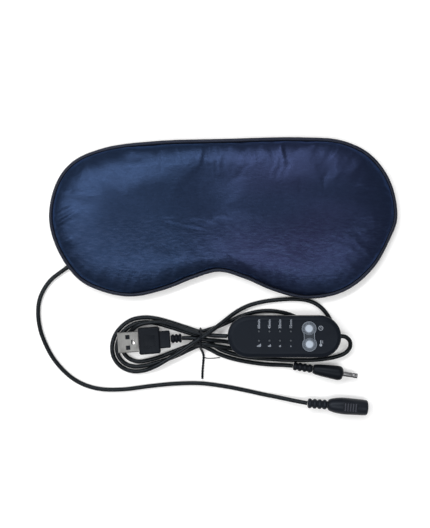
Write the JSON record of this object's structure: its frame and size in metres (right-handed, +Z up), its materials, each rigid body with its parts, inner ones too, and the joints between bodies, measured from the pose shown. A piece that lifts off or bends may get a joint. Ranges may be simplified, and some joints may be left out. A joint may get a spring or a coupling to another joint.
{
  "type": "heated eye mask with USB controller lead",
  "caption": "Padded satin eye mask with an elastic head strap, a short cord ending in a barrel jack, and a coiled USB lead with a two-button timer and heat controller.",
  "frame": {"origin": "on the table, under the middle of the mask's outline, cords left out", "axes": "+X along the mask's length towards the right of the picture, +Y towards the forehead edge, +Z up through the satin front"},
  "size_m": [0.2132, 0.1637, 0.015],
  "materials": {
    "satin": "satin weave",
    "lining": "matt lining cloth",
    "piping": "satin cord",
    "elastic": "ribbed elastic",
    "wadding": "fibre wadding",
    "heater_film": "polyimide film",
    "copper": "etched conductor",
    "red_wire": "wire insulation",
    "cord_black": "smooth soft PVC",
    "black_plastic": "fine satin moulding",
    "white_plastic": "smooth",
    "silver_plastic": "silver paint",
    "button_white": "pearl white",
    "steel": "nickel plated",
    "gold": "gold plated",
    "circuit_board": "solder mask"
  },
  "bodies": {
    "mask": {"front_cover": "satin", "back_cover": "lining", "edge_piping": "piping", "strap_band": "elastic", "front_wadding": "wadding", "back_wadding": "wadding", "heater_film": "heater_film", "heater_trace": "copper", "temperature_sensor": "black_plastic", "thermal_fuse": "white_plastic", "heater_lead_live": "red_wire", "heater_lead_return": "cord_black", "cord_sleeve": "cord_black", "mask_cord": "cord_black", "dc_jack_strain_relief": "cord_black", "dc_jack_housing": "cord_black", "dc_jack_sleeve": "steel", "dc_jack_pin": "steel"},
    "control_lead": {"usb_shell": "steel", "usb_tongue": "white_plastic", "usb_contact_1": "gold", "usb_contact_2": "gold", "usb_contact_3": "gold", "usb_contact_4": "gold", "usb_overmould": "cord_black", "usb_strain_relief": "cord_black", "usb_cord": "cord_black", "input_grommet": "cord_black", "controller_top": "black_plastic", "controller_bottom": "black_plastic", "button_bezel": "silver_plastic", "switch_timer": "cord_black", "switch_heat": "cord_black", "light_guide_timer": "white_plastic", "light_guide_heat": "white_plastic", "led_timer_1": "white_plastic", "led_timer_2": "white_plastic", "led_timer_3": "white_plastic", "led_timer_4": "white_plastic", "led_heat_1": "white_plastic", "led_heat_2": "white_plastic", "led_heat_3": "white_plastic", "led_heat_4": "white_plastic", "controller_pcb": "circuit_board", "controller_chip": "cord_black", "output_grommet": "cord_black", "output_cord": "cord_black", "dc_plug_strain_relief": "cord_black", "dc_plug_overmould": "cord_black", "dc_plug_barrel": "steel", "dc_plug_insulator": "cord_black", "twist_tie": "cord_black"},
    "timer_button": {"button_timer": "button_white"},
    "heat_button": {"button_heat": "button_white"}
  },
  "joints": [
    {"name": "control_lead_lift", "type": "slide", "parent": "mask", "child": "control_lead", "axis": [0, 0, 1], "range_m": [0, 0.1]},
    {"name": "timer_button_press", "type": "slide", "parent": "control_lead", "child": "timer_button", "axis": [0, 0, -1], "range_m": [0, 0.0005], "stiffness_N_per_m": 400},
    {"name": "heat_button_press", "type": "slide", "parent": "control_lead", "child": "heat_button", "axis": [0, 0, -1], "range_m": [0, 0.0005], "stiffness_N_per_m": 400}
  ]
}
